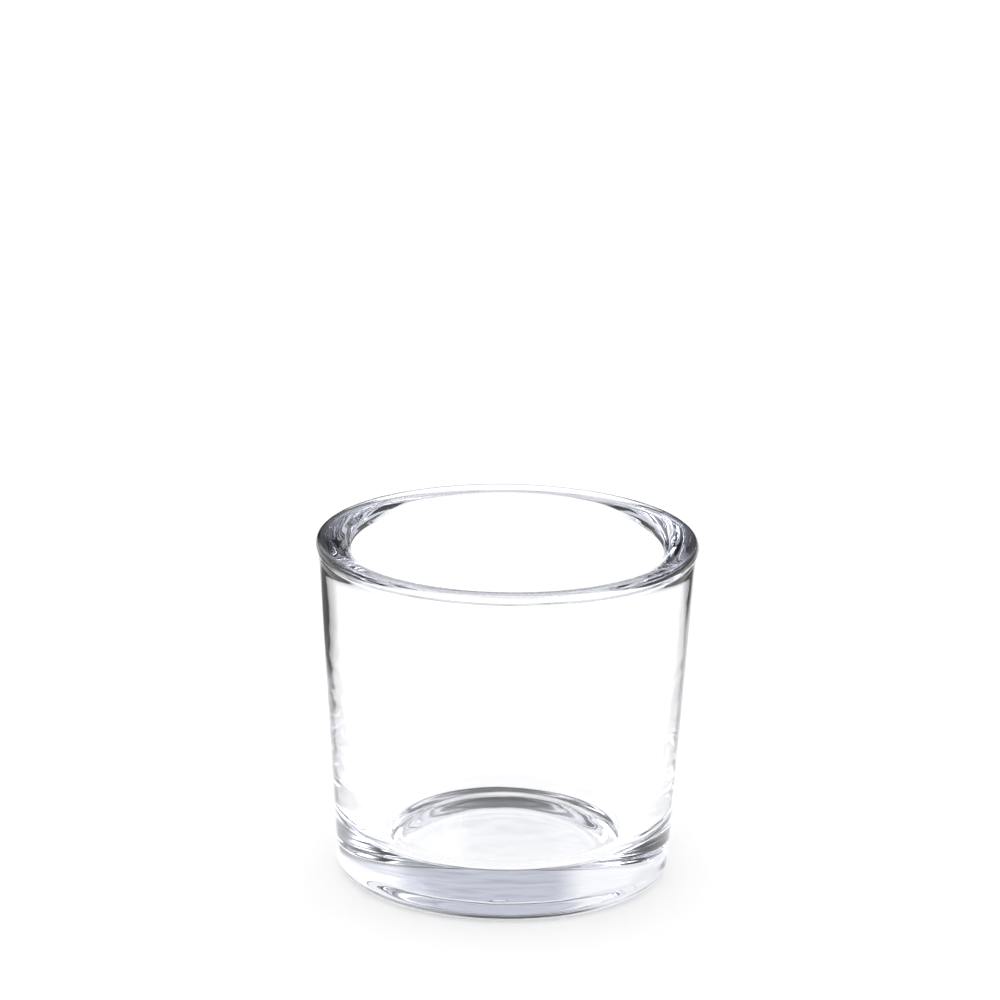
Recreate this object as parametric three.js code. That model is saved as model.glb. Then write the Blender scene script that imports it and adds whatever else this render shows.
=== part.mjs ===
import * as THREE from 'three';

// A thick-walled votive glass, pressed in one piece from clear glass.
// Millimetres, +Z up. The origin is the middle of the ring that it stands on.

// Driving dimensions of the outside
const RIM_DIAMETER = 75; // across the widest point of the rolled rim
const HEIGHT = 68.2; // from the table to the crest of the rim
const FOOT_DIAMETER = 65.5; // the outer wall carried down to the table, before the heel is rounded
const HEEL_RADIUS = 3; // round where the wall meets the underside
const RIM_PROJECTION = 0.6; // how far the rolled rim stands out from the wall below it
const ROLL_RISE = 1.3; // from the widest point of the rim up to the crest
const ROLL_DROP = 2; // from the widest point of the rim down to the straight wall
const CREST_SETBACK = 0.9; // from the widest point of the rim in to the crest

// Driving dimensions of the cavity
const WALL_AT_MOUTH = 6.7; // wall thickness that the straight inner wall would have at the mouth
const WALL_AT_FLOOR = 9.2; // wall thickness level with the floor
const LIP_DROP = 2.4; // from the crest down to the mouth, where the round lip ends
const FLARE_DROP = 3; // from the mouth down to the straight inner wall
const FLARE_WIDTH = 0.25; // how much the mouth is opened by the flare below it
const FLOOR_THICKNESS = 8.2; // from the table to the flat floor
const FLOOR_CORNER_WIDTH = 5.5; // round where the inner wall meets the floor, along the floor
const FLOOR_CORNER_HEIGHT = 4.2; // the same round, up the wall

// Driving dimensions of the underside
const BEARING_WIDTH = 5.4; // flat ring that touches the table
const PUNT_DEPTH = 0.7; // hollow in the middle of the underside, so that the glass doesn't rock
const PUNT_SLOPE_WIDTH = 9; // soft slope between the flat ring and the level middle of the hollow

// Fineness of the surface
const TURN_STEPS = 72; // flats around the glass
const CURVE_STEPS = 7; // flats along each curve of the profile, twice as many on an arc

// Bezier handles as shares of a curve's size: a quarter round, a soft slope and the quick turn at the mouth
const ROUND_HANDLE = 0.5523;
const SOFT_HANDLE = 0.36;
const QUICK_HANDLE = 0.12;

// Heights and radii that follow from the dimensions
const rimRadius = RIM_DIAMETER / 2;
const footRadius = FOOT_DIAMETER / 2;
const crestRadius = rimRadius - CREST_SETBACK;
const widestHeight = HEIGHT - ROLL_RISE;
const neckHeight = widestHeight - ROLL_DROP;
const neckRadius = rimRadius - RIM_PROJECTION;
const mouthHeight = HEIGHT - LIP_DROP;
const flareHeight = mouthHeight - FLARE_DROP;

// A wall leans outwards on its way up, so that the glass leaves the mould
const leanOf = (lowRadius, lowHeight, highRadius, highHeight) =>
  (highRadius - lowRadius) / (highHeight - lowHeight);
const outerLean = leanOf(footRadius, 0, neckRadius, neckHeight);
const outerRadiusAt = (height) => footRadius + outerLean * height;
const straightMouthRadius = outerRadiusAt(mouthHeight) - WALL_AT_MOUTH;
const floorRadius = outerRadiusAt(FLOOR_THICKNESS) - WALL_AT_FLOOR;
const innerLean = leanOf(floorRadius, FLOOR_THICKNESS, straightMouthRadius, mouthHeight);
const innerRadiusAt = (height) => floorRadius + innerLean * (height - FLOOR_THICKNESS);
const mouthRadius = straightMouthRadius + FLARE_WIDTH;
const flareLean = leanOf(innerRadiusAt(flareHeight), flareHeight, mouthRadius, mouthHeight);

// The heel is an arc that touches the table and the leaning wall
const wallAngle = Math.atan(outerLean);
const heelSetback = (HEEL_RADIUS * (1 - Math.sin(wallAngle))) / Math.cos(wallAngle);
const bearingRadius = footRadius - heelSetback;
const puntRadius = bearingRadius - BEARING_WIDTH;

// Half of the section, from the middle of the underside round to the middle of the floor: x is radius, y is height
function glassSection() {
  const section = new THREE.Path();

  // Underside: the level middle of the punt, its soft slope, then the flat ring
  const slopeHandle = SOFT_HANDLE * PUNT_SLOPE_WIDTH;
  const levelRadius = puntRadius - PUNT_SLOPE_WIDTH;
  section.moveTo(0, PUNT_DEPTH);
  section.lineTo(levelRadius, PUNT_DEPTH);
  section.bezierCurveTo(
    levelRadius + slopeHandle, PUNT_DEPTH,
    puntRadius - slopeHandle, 0,
    puntRadius, 0,
  );
  section.lineTo(bearingRadius, 0);

  // Heel and outer wall
  section.absarc(bearingRadius, HEEL_RADIUS, HEEL_RADIUS, -Math.PI / 2, -wallAngle, false);
  section.lineTo(neckRadius, neckHeight);

  // Rolled rim: out from the wall, over the widest point and up to the crest
  const dropHandle = ROUND_HANDLE * ROLL_DROP;
  section.bezierCurveTo(
    neckRadius + outerLean * dropHandle, neckHeight + dropHandle,
    rimRadius, widestHeight - dropHandle,
    rimRadius, widestHeight,
  );
  section.bezierCurveTo(
    rimRadius, widestHeight + ROUND_HANDLE * ROLL_RISE,
    crestRadius + ROUND_HANDLE * CREST_SETBACK, HEIGHT,
    crestRadius, HEIGHT,
  );

  // Lip: from the crest over into the mouth, then the slight flare down to the straight wall
  const lipHandle = QUICK_HANDLE * LIP_DROP;
  section.bezierCurveTo(
    crestRadius - ROUND_HANDLE * (crestRadius - mouthRadius), HEIGHT,
    mouthRadius + flareLean * lipHandle, mouthHeight + lipHandle,
    mouthRadius, mouthHeight,
  );
  section.lineTo(innerRadiusAt(flareHeight), flareHeight);

  // Inner wall, floor corner and floor
  const cornerHeight = FLOOR_THICKNESS + FLOOR_CORNER_HEIGHT;
  const lowerHandle = cornerHeight - ROUND_HANDLE * FLOOR_CORNER_HEIGHT;
  const levelFloorRadius = floorRadius - FLOOR_CORNER_WIDTH;
  section.lineTo(innerRadiusAt(cornerHeight), cornerHeight);
  section.bezierCurveTo(
    innerRadiusAt(lowerHandle), lowerHandle,
    levelFloorRadius + ROUND_HANDLE * FLOOR_CORNER_WIDTH, FLOOR_THICKNESS,
    levelFloorRadius, FLOOR_THICKNESS,
  );
  section.lineTo(0, FLOOR_THICKNESS);
  return section;
}

// The glass is the section turned once round its axis
function glassCup() {
  const turned = new THREE.LatheGeometry(glassSection().getPoints(CURVE_STEPS), TURN_STEPS);
  turned.rotateX(Math.PI / 2);
  const clearGlass = new THREE.MeshStandardMaterial({
    color: 0xeceef6,
    roughness: 0.03,
    metalness: 0,
    transparent: true,
    opacity: 0.35,
  });
  const mesh = new THREE.Mesh(turned, clearGlass);
  mesh.name = 'glass_cup';
  return mesh;
}

const votiveGlass = new THREE.Group();
votiveGlass.name = 'votive_glass';
votiveGlass.add(glassCup());

export default votiveGlass;
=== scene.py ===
import math

import bpy
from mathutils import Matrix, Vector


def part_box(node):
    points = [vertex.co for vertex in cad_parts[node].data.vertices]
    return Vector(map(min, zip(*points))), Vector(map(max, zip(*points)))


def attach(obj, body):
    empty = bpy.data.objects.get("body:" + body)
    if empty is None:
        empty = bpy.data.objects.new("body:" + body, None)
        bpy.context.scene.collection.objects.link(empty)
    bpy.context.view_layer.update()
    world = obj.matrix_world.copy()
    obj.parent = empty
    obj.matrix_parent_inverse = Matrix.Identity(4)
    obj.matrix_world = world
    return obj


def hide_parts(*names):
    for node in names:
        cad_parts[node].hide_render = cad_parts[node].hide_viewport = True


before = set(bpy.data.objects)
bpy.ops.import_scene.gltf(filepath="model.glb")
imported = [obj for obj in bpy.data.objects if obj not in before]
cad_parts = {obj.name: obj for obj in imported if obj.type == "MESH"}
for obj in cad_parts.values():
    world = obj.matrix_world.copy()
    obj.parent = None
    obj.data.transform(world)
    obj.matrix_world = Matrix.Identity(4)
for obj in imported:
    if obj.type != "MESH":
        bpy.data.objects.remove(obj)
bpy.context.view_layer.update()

MM = 0.001

# Viewpoint
# A long lens on a tripod, a little less than a metre from the glass and looking down at it by about 17 degrees.
# The tripod head stands slightly askew, so the picture leans by less than a degree.
CAMERA_DISTANCE = 933.3 * MM
CAMERA_HEIGHT = 355.7 * MM
CAMERA_DIP = math.radians(16.70)
CAMERA_HEADING = math.radians(0.096)
CAMERA_LEAN = math.radians(0.843)
SENSOR_WIDTH = 36.0
LENS_LENGTH = 180.0
NEAREST_SEEN = 10.0 * MM

bpy.ops.object.select_all(action="DESELECT")
bpy.ops.object.camera_add(
    location=(0.0, -CAMERA_DISTANCE, CAMERA_HEIGHT),
    rotation=(math.pi / 2 - CAMERA_DIP, 0.0, CAMERA_HEADING),
)
camera = bpy.context.object
camera.name = "studio_camera"
camera.rotation_euler.rotate_axis("Z", CAMERA_LEAN)
camera.data.sensor_width = SENSOR_WIDTH
camera.data.lens = LENS_LENGTH
camera.data.clip_start = NEAREST_SEEN
bpy.context.scene.camera = camera

# Glass cup
# The whole votive glass: one gather of clear soda glass, pressed in a mould by a tapered plunger.
# The mould makes the outside and its rolled rim, the plunger makes the cavity and the broad lip,
# and a flame then polishes the rim. Nothing is fixed to it.
glass_low, glass_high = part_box("glass_cup")

# Outside
HEIGHT = glass_high.z
RIM_RADIUS = glass_high.x
FOOT_RADIUS = 32.75 * MM
HEEL_RADIUS = 3.0 * MM
RIM_PROJECTION = 0.6 * MM
ROLL_RISE = 1.3 * MM
ROLL_DROP = 2.0 * MM
CREST_SETBACK = 0.9 * MM

# Cavity
WALL_AT_MOUTH = 6.7 * MM
WALL_AT_FLOOR = 9.2 * MM
LIP_DROP = 2.4 * MM
FLARE_DROP = 3.0 * MM
FLARE_WIDTH = 0.25 * MM
FLOOR_THICKNESS = 8.2 * MM
FLOOR_CORNER_WIDTH = 5.5 * MM
FLOOR_CORNER_HEIGHT = 4.2 * MM
PLUNGER_LEAN = math.radians(0.3)

# Underside
BEARING_WIDTH = 5.4 * MM
PUNT_DEPTH = 0.7 * MM
PUNT_SLOPE_WIDTH = 9.0 * MM

# Handles of the curves, as shares of a curve's size
ROUND_HANDLE = 0.5523
SOFT_HANDLE = 0.36
BEAD_HANDLE = 0.4
LIP_LEVEL_HANDLE = 0.68
LIP_TURN_HANDLE = 0.12

# Fineness of the mesh
TURN_STEPS = 288
WALL_STEPS = 48
FLOOR_STEPS = 20
CURVE_STEPS = 16
LIP_STEPS = 64
BEAD_STEPS = 28
SHORT_STEPS = 4
MERGE_DISTANCE = 0.002 * MM

widest_height = HEIGHT - ROLL_RISE
neck_height = widest_height - ROLL_DROP
neck_radius = RIM_RADIUS - RIM_PROJECTION
crest_radius = RIM_RADIUS - CREST_SETBACK
mouth_height = HEIGHT - LIP_DROP
flare_height = mouth_height - FLARE_DROP
outer_lean = (neck_radius - FOOT_RADIUS) / neck_height
straight_mouth_radius = FOOT_RADIUS + outer_lean * mouth_height - WALL_AT_MOUTH
floor_radius = FOOT_RADIUS + outer_lean * FLOOR_THICKNESS - WALL_AT_FLOOR
inner_lean = (straight_mouth_radius - floor_radius) / (mouth_height - FLOOR_THICKNESS)
mouth_radius = straight_mouth_radius + FLARE_WIDTH
flare_lean = inner_lean + FLARE_WIDTH / FLARE_DROP

# The heel is an arc that touches the table and the leaning wall
outer_angle = math.atan(outer_lean)
heel_setback = HEEL_RADIUS * (1.0 - math.sin(outer_angle)) / math.cos(outer_angle)
bearing_radius = FOOT_RADIUS - heel_setback
punt_radius = bearing_radius - BEARING_WIDTH
level_radius = punt_radius - PUNT_SLOPE_WIDTH


def section_end():
    """Radius and height of the section's selected end."""
    bpy.context.object.update_from_editmode()
    vertex = next(v for v in bpy.context.object.data.vertices if v.select)
    return vertex.co.x, vertex.co.z


def draw_to(radius, height, steps=1):
    """Carries the section on in a straight run."""
    start = section_end()
    step = ((radius - start[0]) / steps, 0.0, (height - start[1]) / steps)
    for _ in range(steps):
        bpy.ops.mesh.extrude_vertices_move(TRANSFORM_OT_translate={"value": step})


def curve_to(first_handle, second_handle, end, steps=CURVE_STEPS):
    """Carries the section on along a Bezier curve."""
    points = (section_end(), first_handle, second_handle, end)
    for index in range(1, steps + 1):
        along = index / steps
        back = 1.0 - along
        shares = (back ** 3, 3 * back * back * along, 3 * back * along * along, along ** 3)
        radius = sum(share * point[0] for share, point in zip(shares, points))
        height = sum(share * point[1] for share, point in zip(shares, points))
        draw_to(radius, height)


# The section starts as a single point in the middle of the underside
bpy.ops.object.select_all(action="DESELECT")
bpy.ops.mesh.primitive_plane_add(size=MM)
glass = bpy.context.object
glass.name = "votive_glass"
glass.data.name = "votive_glass"
bpy.ops.object.mode_set(mode="EDIT")
bpy.ops.mesh.select_mode(type="VERT")
bpy.ops.mesh.select_all(action="SELECT")
bpy.ops.mesh.merge(type="CENTER")
bpy.ops.transform.translate(value=(0.0, 0.0, PUNT_DEPTH))

# Underside: the shallow punt and its soft slope, then the flat ring that the glass stands on
slope_run = SOFT_HANDLE * PUNT_SLOPE_WIDTH
draw_to(level_radius, PUNT_DEPTH, FLOOR_STEPS)
curve_to(
    (level_radius + slope_run, PUNT_DEPTH),
    (punt_radius - slope_run, 0.0),
    (punt_radius, 0.0),
    2 * CURVE_STEPS,
)
draw_to(bearing_radius, 0.0, SHORT_STEPS)

# Heel and outer wall
bpy.ops.mesh.spin(
    steps=CURVE_STEPS,
    angle=math.pi / 2 - outer_angle,
    center=(bearing_radius, 0.0, HEEL_RADIUS),
    axis=(0.0, 1.0, 0.0),
)
draw_to(neck_radius, neck_height, WALL_STEPS)

# Rolled rim: out from the wall, over the widest point and up to the crest
neck_run = ROUND_HANDLE * ROLL_DROP
curve_to(
    (neck_radius + outer_lean * neck_run, neck_height + neck_run),
    (RIM_RADIUS, widest_height - BEAD_HANDLE * ROLL_DROP),
    (RIM_RADIUS, widest_height),
    BEAD_STEPS,
)
curve_to(
    (RIM_RADIUS, widest_height + ROUND_HANDLE * ROLL_RISE),
    (crest_radius + ROUND_HANDLE * CREST_SETBACK, HEIGHT),
    (crest_radius, HEIGHT),
    BEAD_STEPS,
)

# Lip: nearly level, then a quick turn down into the mouth and its slight flare
lip_run = LIP_TURN_HANDLE * LIP_DROP
curve_to(
    (crest_radius - LIP_LEVEL_HANDLE * (crest_radius - mouth_radius), HEIGHT),
    (mouth_radius + flare_lean * lip_run, mouth_height + lip_run),
    (mouth_radius, mouth_height),
    LIP_STEPS,
)
draw_to(straight_mouth_radius - inner_lean * FLARE_DROP, flare_height, SHORT_STEPS)

# Inner wall, floor corner and floor
corner_top = (floor_radius + inner_lean * FLOOR_CORNER_HEIGHT, FLOOR_THICKNESS + FLOOR_CORNER_HEIGHT)
corner_end = (floor_radius - FLOOR_CORNER_WIDTH, FLOOR_THICKNESS)
corner_run = ROUND_HANDLE * FLOOR_CORNER_HEIGHT
draw_to(*corner_top, WALL_STEPS)
curve_to(
    (corner_top[0] - inner_lean * corner_run, corner_top[1] - corner_run),
    (corner_end[0] + ROUND_HANDLE * FLOOR_CORNER_WIDTH, FLOOR_THICKNESS),
    corner_end,
)
draw_to(0.0, FLOOR_THICKNESS, FLOOR_STEPS)

# The section turned once round its axis
bpy.ops.mesh.select_all(action="SELECT")
bpy.ops.mesh.spin(steps=TURN_STEPS, angle=2 * math.pi, center=(0.0, 0.0, 0.0), axis=(0.0, 0.0, 1.0))
bpy.ops.mesh.select_all(action="SELECT")
bpy.ops.mesh.remove_doubles(threshold=MERGE_DISTANCE)
bpy.ops.mesh.normals_make_consistent(inside=False)

# The plunger came down slightly askew, so the whole cavity below the flare leans
CAVITY_MARGIN = 0.01 * MM
bpy.ops.mesh.select_all(action="DESELECT")
bpy.ops.object.mode_set(mode="OBJECT")
for vertex in glass.data.vertices:
    height = vertex.co.z
    radius = math.hypot(vertex.co.x, vertex.co.y)
    middle_of_wall = FOOT_RADIUS + outer_lean * height - WALL_AT_MOUTH / 2
    below_flare = FLOOR_THICKNESS / 2 < height < flare_height - CAVITY_MARGIN
    vertex.select = below_flare and radius < middle_of_wall
bpy.ops.object.mode_set(mode="EDIT")
bpy.ops.transform.rotate(
    value=PLUNGER_LEAN,
    orient_axis="Y",
    orient_type="GLOBAL",
    center_override=(0.0, 0.0, mouth_height),
)
bpy.ops.object.mode_set(mode="OBJECT")

# Pressing leaves slow waves, the flame leaves ripples on the rim, the cold mould leaves chill marks
# low on both sides, and the underside is slightly uneven
WAVE_ALONG = 20.0 * MM
WAVE_ACROSS = 6.0 * MM
WAVE_DEPTH = 0.025 * MM
RIPPLE_ALONG = 20.0 * MM
RIPPLE_ACROSS = 0.9 * MM
RIPPLE_DEPTH = 0.1 * MM
CHILL_ALONG = 10.0 * MM
CHILL_ACROSS = 1.6 * MM
CHILL_DEPTH = 0.05 * MM
CHILL_LOW = 14.0 * MM
CHILL_HIGH = 42.0 * MM
CHILL_SIDE = 28.0 * MM
SOLE_WAVE = 5.0 * MM
SOLE_DEPTH = 0.05 * MM
uneven_areas = {
    "pressed": [v.index for v in glass.data.vertices if v.co.z > HEEL_RADIUS],
    "flamed": [v.index for v in glass.data.vertices if v.co.z > neck_height],
    "chilled": [
        v.index
        for v in glass.data.vertices
        if CHILL_LOW < v.co.z < CHILL_HIGH and abs(v.co.x) > CHILL_SIDE
    ],
    "sole": [v.index for v in glass.data.vertices if v.co.z < HEEL_RADIUS / 2],
}
for area, corners in uneven_areas.items():
    glass.vertex_groups.new(name=area).add(corners, 1.0, "REPLACE")
marks = (
    ("pressed", WAVE_ALONG, WAVE_ACROSS, WAVE_DEPTH),
    ("flamed", RIPPLE_ALONG, RIPPLE_ACROSS, RIPPLE_DEPTH),
    ("chilled", CHILL_ALONG, CHILL_ACROSS, CHILL_DEPTH),
    ("sole", SOLE_WAVE, SOLE_WAVE, SOLE_DEPTH),
)
for area, along, across, depth in marks:
    bpy.ops.object.empty_add()
    stretch = bpy.context.object
    stretch.scale = (along, along, across)
    bpy.context.view_layer.objects.active = glass
    swell = bpy.data.textures.new(area + "_waves", "CLOUDS")
    swell.noise_scale = 1.0
    swell.noise_depth = 1
    uneven = glass.modifiers.new(area + "_waves", "DISPLACE")
    uneven.texture = swell
    uneven.texture_coords = "OBJECT"
    uneven.texture_coords_object = stretch
    uneven.vertex_group = area
    uneven.mid_level = 1.0
    uneven.strength = depth
    bpy.ops.object.modifier_apply(modifier=uneven.name)
    bpy.data.objects.remove(stretch)
bpy.ops.object.select_all(action="DESELECT")
glass.select_set(True)
bpy.ops.object.shade_smooth()

# Clear pressed glass with a faint lavender tint inside, so that only thick places show it
CLEAR = (1.0, 1.0, 1.0, 1.0)
TINT = (0.50, 0.52, 0.60, 1.0)
TINT_DENSITY = 10.0
REFRACTION = 1.52
clear_glass = bpy.data.materials.new("clear_pressed_glass")
clear_glass.use_nodes = True
glass_nodes = clear_glass.node_tree.nodes
surface = glass_nodes["Principled BSDF"]
surface.inputs["Base Color"].default_value = CLEAR
surface.inputs["Roughness"].default_value = 0.0
surface.inputs["IOR"].default_value = REFRACTION
surface.inputs["Transmission Weight"].default_value = 1.0
tint = glass_nodes.new("ShaderNodeVolumeAbsorption")
tint.inputs["Color"].default_value = TINT
tint.inputs["Density"].default_value = TINT_DENSITY
clear_glass.node_tree.links.new(tint.outputs["Volume"], glass_nodes["Material Output"].inputs["Volume"])
glass.data.materials.append(clear_glass)

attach(glass, "root")
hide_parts("glass_cup")

# Table
# A white studio table, wide enough to have no edge in the picture, with the glass's soft shadow on it.
# Seen through the glass it is plain white. Two soft dark spots are painted into its glow behind the glass,
# and only reflections show them: painted shade in the glass's reflections.
TABLE_WIDTH = 1.6
TABLE_FRONT = 0.8
TABLE_BACK = 1.6
TABLE_GAP = 0.02 * MM
TABLE_WHITE = 0.85
TABLE_DIM = 0.22
TABLE_GLOW = 0.26
TABLE_THROUGH_GLASS = 1.0
STUDIO_WHITE = (1.0, 1.0, 1.0, 1.0)

# Each painted dark spot, shown only in reflections: its place on the table across and back, then where its
# dark middle and its soft edge end
TABLE_REFLECTION_SHADE_SPOTS = (
    (-0.115, 0.13, 0.035, 0.065),
    (0.13, 0.16, 0.03, 0.05),
)
# Glow left in the middle of a painted dark spot
TABLE_REFLECTED_SHADE = 0.05

bpy.ops.object.select_all(action="DESELECT")
bpy.ops.mesh.primitive_plane_add(size=1.0, location=(0.0, (TABLE_BACK - TABLE_FRONT) / 2, -TABLE_GAP))
table = bpy.context.object
table.name = "studio_table"
table.scale = (TABLE_WIDTH, TABLE_BACK + TABLE_FRONT, 1.0)
bpy.ops.object.transform_apply(location=True, rotation=False, scale=True)
table_white = bpy.data.materials.new("studio_white")
table_white.use_nodes = True
table_nodes, table_links = table_white.node_tree.nodes, table_white.node_tree.links
paint = table_nodes["Principled BSDF"]
paint.inputs["Roughness"].default_value = 1.0
paint.inputs["Specular IOR Level"].default_value = 0.0
paint.inputs["Emission Color"].default_value = STUDIO_WHITE
seen = table_nodes.new("ShaderNodeLightPath")


def for_camera(otherwise, to_camera):
    """A value that the camera sees, and another that every other ray sees."""
    choice_of_two = table_nodes.new("ShaderNodeMapRange")
    choice_of_two.inputs["To Min"].default_value = otherwise
    choice_of_two.inputs["To Max"].default_value = to_camera
    table_links.new(seen.outputs["Is Camera Ray"], choice_of_two.inputs["Value"])
    return choice_of_two.outputs["Result"]


table_links.new(for_camera(TABLE_DIM, TABLE_WHITE), paint.inputs["Base Color"])
glow = for_camera(TABLE_THROUGH_GLASS, TABLE_GLOW)
spot = table_nodes.new("ShaderNodeNewGeometry")
# Painted shade: each spot darkens the table's glow where reflection rays see it, and nowhere else
for shade_spot_across, shade_spot_back, dark_reach, soft_reach in TABLE_REFLECTION_SHADE_SPOTS:
    away = table_nodes.new("ShaderNodeVectorMath")
    away.operation = "DISTANCE"
    away.inputs[1].default_value = (shade_spot_across, shade_spot_back, 0.0)
    table_links.new(spot.outputs["Position"], away.inputs[0])
    clear_of_painted_shade = table_nodes.new("ShaderNodeMapRange")
    clear_of_painted_shade.interpolation_type = "SMOOTHSTEP"
    clear_of_painted_shade.inputs["From Min"].default_value = dark_reach
    clear_of_painted_shade.inputs["From Max"].default_value = soft_reach
    clear_of_painted_shade.inputs["To Min"].default_value = TABLE_REFLECTED_SHADE
    table_links.new(away.outputs["Value"], clear_of_painted_shade.inputs["Value"])
    only_reflected = table_nodes.new("ShaderNodeMix")
    only_reflected.inputs["A"].default_value = 1.0
    table_links.new(seen.outputs["Is Reflection Ray"], only_reflected.inputs["Factor"])
    table_links.new(clear_of_painted_shade.outputs["Result"], only_reflected.inputs["B"])
    shaded_glow = table_nodes.new("ShaderNodeMath")
    shaded_glow.operation = "MULTIPLY"
    table_links.new(glow, shaded_glow.inputs[0])
    table_links.new(only_reflected.outputs["Result"], shaded_glow.inputs[1])
    glow = shaded_glow.outputs["Value"]
table_links.new(glow, paint.inputs["Emission Strength"])
table.data.materials.append(table_white)

# Studio
# Plain white walls that light the table. In the glass the room is shaded: pale at the back, unlit beside
# and behind the camera and at the ceiling, with soft boxes and dark cards round the table.

# Shades of the back wall from the table's level up to the ceiling, by the sine of the height above the level
ROOM_SHADES = (
    (0.0, (0.82, 0.83, 0.87, 1.0)),
    (0.36, (0.80, 0.82, 0.91, 1.0)),
    (0.70, (0.80, 0.82, 0.90, 1.0)),
    (0.88, (0.75, 0.75, 0.80, 1.0)),
    (0.92, (0.25, 0.25, 0.27, 1.0)),
    (0.96, (0.02, 0.02, 0.02, 1.0)),
)

# The unlit side: its share of the back wall's shade, and where it ends and the full shade starts,
# by the cosine of the angle from straight behind the glass
UNLIT_SHARE = 0.02
UNLIT_UP_TO = 0.3
LIT_FROM = 0.75

# Each soft box or dark card in degrees and brightness: heading from straight behind the glass towards the
# right, half its width, its lower edge, its upper edge, brightness. A later one hides an earlier one.
ROOM_CARDS = (
    (180.0, 20.0, 8.0, 28.0, 0.6),
    (-90.0, 40.0, 8.0, 24.0, 0.5),
    (-70.0, 35.0, 42.0, 62.0, 1.6),
    (70.0, 35.0, 42.0, 62.0, 1.6),
    (0.0, 18.0, -9.0, 18.0, 0.05),
    (42.0, 24.0, -9.0, 15.0, 0.4),
    (-48.0, 24.0, 14.0, 42.0, 1.3),
    (52.0, 16.0, 20.0, 42.0, 1.4),
    (-80.0, 30.0, 20.0, 42.0, 1.1),
    (-100.0, 18.0, 32.0, 56.0, 5.0),
    (115.0, 35.0, -30.0, 45.0, 1.2),
    (115.0, 16.0, -2.0, 42.0, 6.5),
)
CARD_SIDE_FADE = 12.0
CARD_EDGE_FADE = 5.0

world = bpy.data.worlds.new("white_studio")
bpy.context.scene.world = world
world.use_nodes = True
room, room_links = world.node_tree.nodes, world.node_tree.links
plain = room["Background"]
plain.inputs["Color"].default_value = STUDIO_WHITE


def soft_step(value, start, end):
    """Share that grows softly from 0 to 1 while the value goes from start to end."""
    step = room.new("ShaderNodeMapRange")
    step.interpolation_type = "SMOOTHSTEP"
    step.inputs["From Min"].default_value = start
    step.inputs["From Max"].default_value = end
    room_links.new(value, step.inputs["Value"])
    return step


def sine(degrees):
    return math.sin(math.radians(degrees))


def cosine(degrees):
    return math.cos(math.radians(degrees))


# Direction looked in: its height, and its heading on the level
direction = room.new("ShaderNodeTexCoord")
split = room.new("ShaderNodeSeparateXYZ")
room_links.new(direction.outputs["Generated"], split.inputs["Vector"])
height_seen = split.outputs["Z"]
level = room.new("ShaderNodeVectorMath")
level.operation = "MULTIPLY"
level.inputs[1].default_value = (1.0, 1.0, 0.0)
room_links.new(direction.outputs["Generated"], level.inputs[0])
compass = room.new("ShaderNodeVectorMath")
compass.operation = "NORMALIZE"
room_links.new(level.outputs["Vector"], compass.inputs[0])
heading_parts = room.new("ShaderNodeSeparateXYZ")
room_links.new(compass.outputs["Vector"], heading_parts.inputs["Vector"])

# Back wall, and the unlit side
rise = room.new("ShaderNodeValToRGB")
room_links.new(height_seen, rise.inputs["Fac"])
while len(rise.color_ramp.elements) < len(ROOM_SHADES):
    rise.color_ramp.elements.new(0.5)
for stop, (place, wall_shade) in zip(rise.color_ramp.elements, ROOM_SHADES):
    stop.position = place
    stop.color = wall_shade
lit = soft_step(heading_parts.outputs["Y"], UNLIT_UP_TO, LIT_FROM)
lit.inputs["To Min"].default_value = UNLIT_SHARE
dimmed = room.new("ShaderNodeVectorMath")
dimmed.operation = "SCALE"
room_links.new(rise.outputs["Color"], dimmed.inputs[0])
room_links.new(lit.outputs["Result"], dimmed.inputs["Scale"])
shade = dimmed.outputs["Vector"]

# Soft boxes and dark cards
for heading, half_width, low, high, brightness in ROOM_CARDS:
    facing = room.new("ShaderNodeVectorMath")
    facing.operation = "DOT_PRODUCT"
    facing.inputs[1].default_value = (sine(heading), cosine(heading), 0.0)
    room_links.new(compass.outputs["Vector"], facing.inputs[0])
    side_end = cosine(half_width + CARD_SIDE_FADE)
    within_sides = soft_step(facing.outputs["Value"], side_end, cosine(half_width))
    above_low = soft_step(height_seen, sine(low - CARD_EDGE_FADE), sine(low + CARD_EDGE_FADE))
    below_high = soft_step(height_seen, sine(high + CARD_EDGE_FADE), sine(high - CARD_EDGE_FADE))
    reach = within_sides.outputs["Result"]
    for edge in (above_low, below_high):
        both = room.new("ShaderNodeMath")
        both.operation = "MULTIPLY"
        room_links.new(reach, both.inputs[0])
        room_links.new(edge.outputs["Result"], both.inputs[1])
        reach = both.outputs["Value"]
    card = room.new("ShaderNodeMix")
    card.data_type = "RGBA"
    card.inputs["B"].default_value = (brightness, brightness, brightness, 1.0)
    room_links.new(reach, card.inputs["Factor"])
    room_links.new(shade, card.inputs["A"])
    shade = card.outputs["Result"]

# Only reflections and what is seen through the glass show the shaded room
shaded = room.new("ShaderNodeBackground")
room_links.new(shade, shaded.inputs["Color"])
ray = room.new("ShaderNodeLightPath")
in_glass = room.new("ShaderNodeMath")
in_glass.operation = "MAXIMUM"
room_links.new(ray.outputs["Is Glossy Ray"], in_glass.inputs[0])
room_links.new(ray.outputs["Is Transmission Ray"], in_glass.inputs[1])
choice = room.new("ShaderNodeMixShader")
room_links.new(in_glass.outputs["Value"], choice.inputs["Fac"])
room_links.new(plain.outputs["Background"], choice.inputs[1])
room_links.new(shaded.outputs["Background"], choice.inputs[2])
room_links.new(choice.outputs["Shader"], room["World Output"].inputs["Surface"])

# Light that stays in the glass for longer than this many bounces ends black, as in the rim's dark lines
BOUNCES = 14
scene = bpy.context.scene
scene.view_settings.view_transform = "Standard"
scene.cycles.max_bounces = BOUNCES
scene.cycles.transmission_bounces = BOUNCES
scene.cycles.glossy_bounces = BOUNCES
